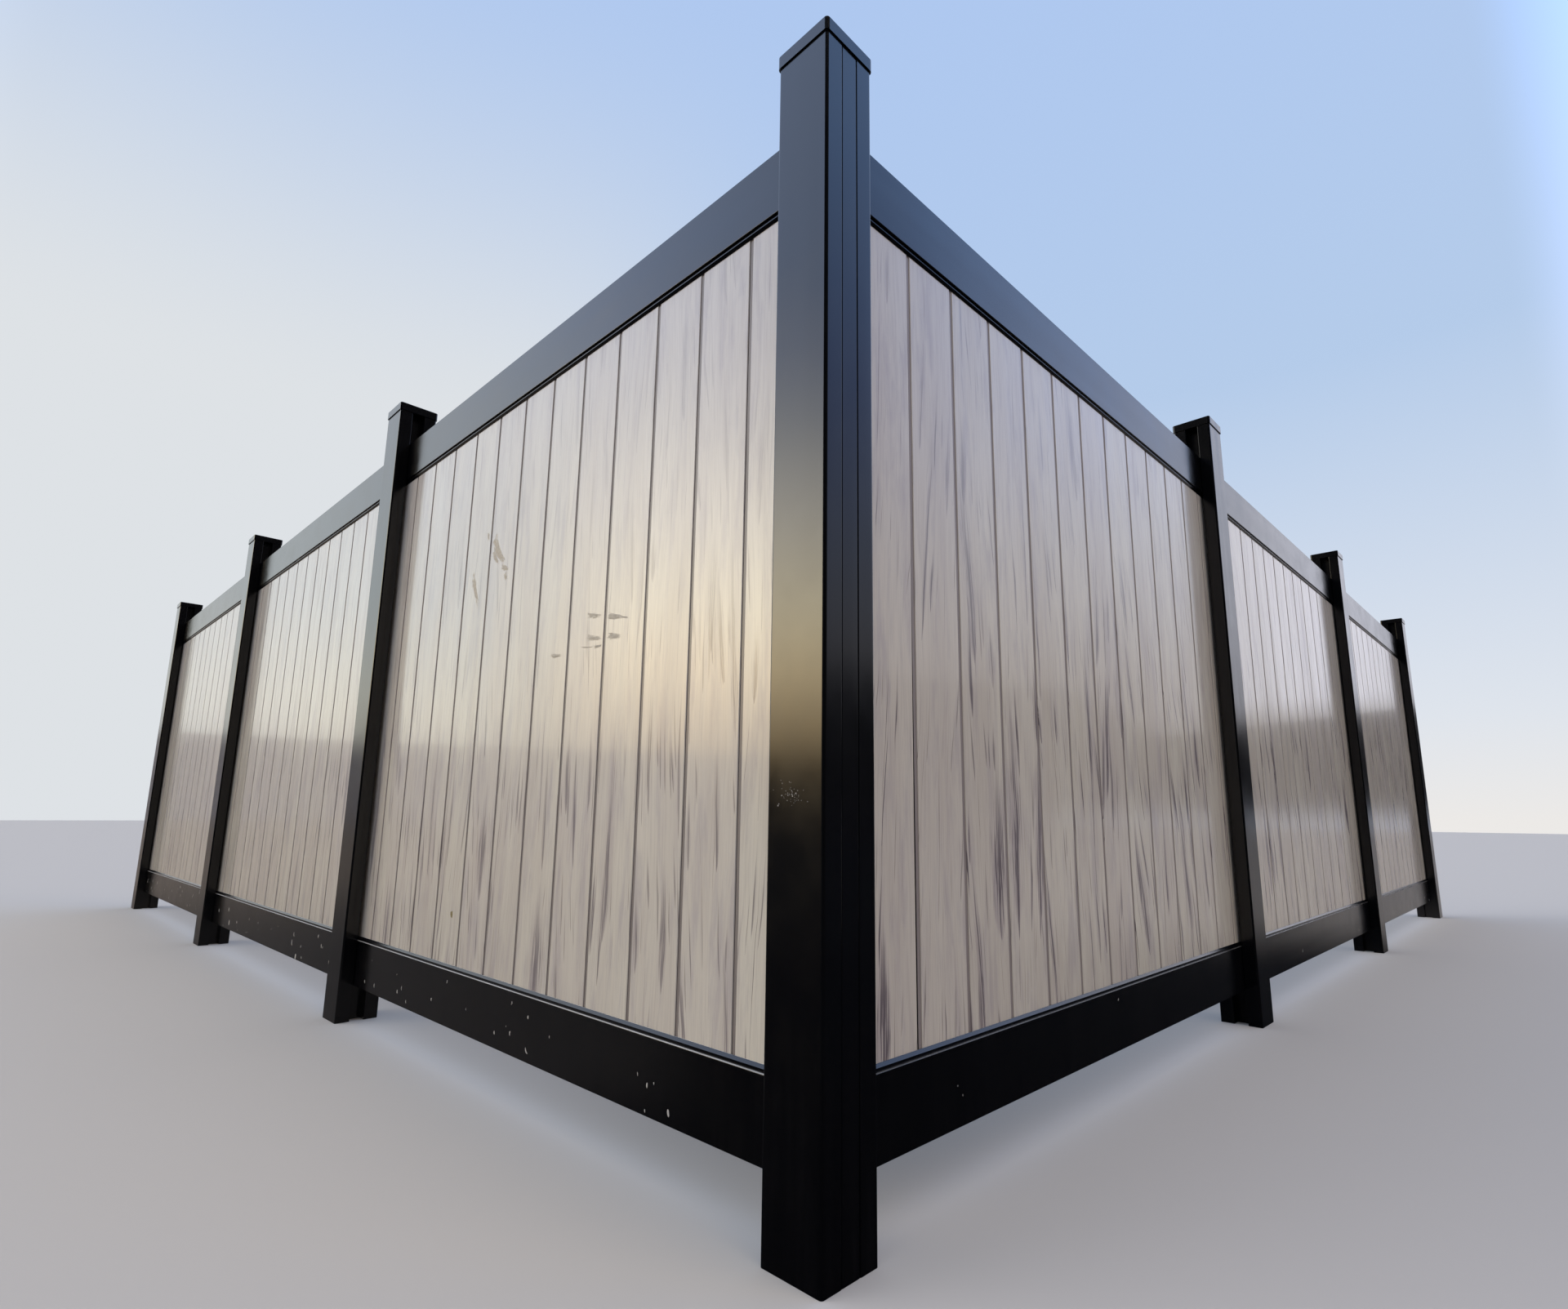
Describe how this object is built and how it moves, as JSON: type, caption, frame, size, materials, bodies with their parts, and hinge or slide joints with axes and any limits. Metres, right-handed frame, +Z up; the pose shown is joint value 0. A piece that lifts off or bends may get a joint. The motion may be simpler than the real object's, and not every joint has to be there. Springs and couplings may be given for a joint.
{
  "type": "vinyl privacy fence",
  "caption": "Corner run of solid-panel vinyl privacy fence: capped square hollow posts, deep channelled rails and upright wood-look tongue and groove planks.",
  "frame": {"origin": "centre of the corner post's foot, on the ground plane", "axes": "+Z up, +X along the right run of bays, +Y along the left run of bays; the outside of the corner faces -X and -Y"},
  "size_m": [6.433, 6.433, 2.136],
  "materials": {
    "black_vinyl": "smooth black rigid vinyl with a soft sheen",
    "wood_grain_vinyl": "light weathered oak print with darker lens-shaped streaks along the plank"
  },
  "bodies": {
    "root": {"corner_cap": "black_vinyl", "corner_cover_strip": "black_vinyl", "corner_post": "black_vinyl", "left_bottom_rail_1": "black_vinyl", "left_bottom_rail_2": "black_vinyl", "left_bottom_rail_3": "black_vinyl", "left_cap_1": "black_vinyl", "left_cap_2": "black_vinyl", "left_cap_3": "black_vinyl", "left_end_cover_strip": "black_vinyl", "left_planks_1": "wood_grain_vinyl", "left_planks_2": "wood_grain_vinyl", "left_planks_3": "wood_grain_vinyl", "left_post_1": "black_vinyl", "left_post_2": "black_vinyl", "left_post_3": "black_vinyl", "left_top_rail_1": "black_vinyl", "left_top_rail_2": "black_vinyl", "left_top_rail_3": "black_vinyl", "right_bottom_rail_1": "black_vinyl", "right_bottom_rail_2": "black_vinyl", "right_bottom_rail_3": "black_vinyl", "right_cap_1": "black_vinyl", "right_cap_2": "black_vinyl", "right_cap_3": "black_vinyl", "right_end_cover_strip": "black_vinyl", "right_planks_1": "wood_grain_vinyl", "right_planks_2": "wood_grain_vinyl", "right_planks_3": "wood_grain_vinyl", "right_post_1": "black_vinyl", "right_post_2": "black_vinyl", "right_post_3": "black_vinyl", "right_top_rail_1": "black_vinyl", "right_top_rail_2": "black_vinyl", "right_top_rail_3": "black_vinyl"}
  },
  "joints": []
}
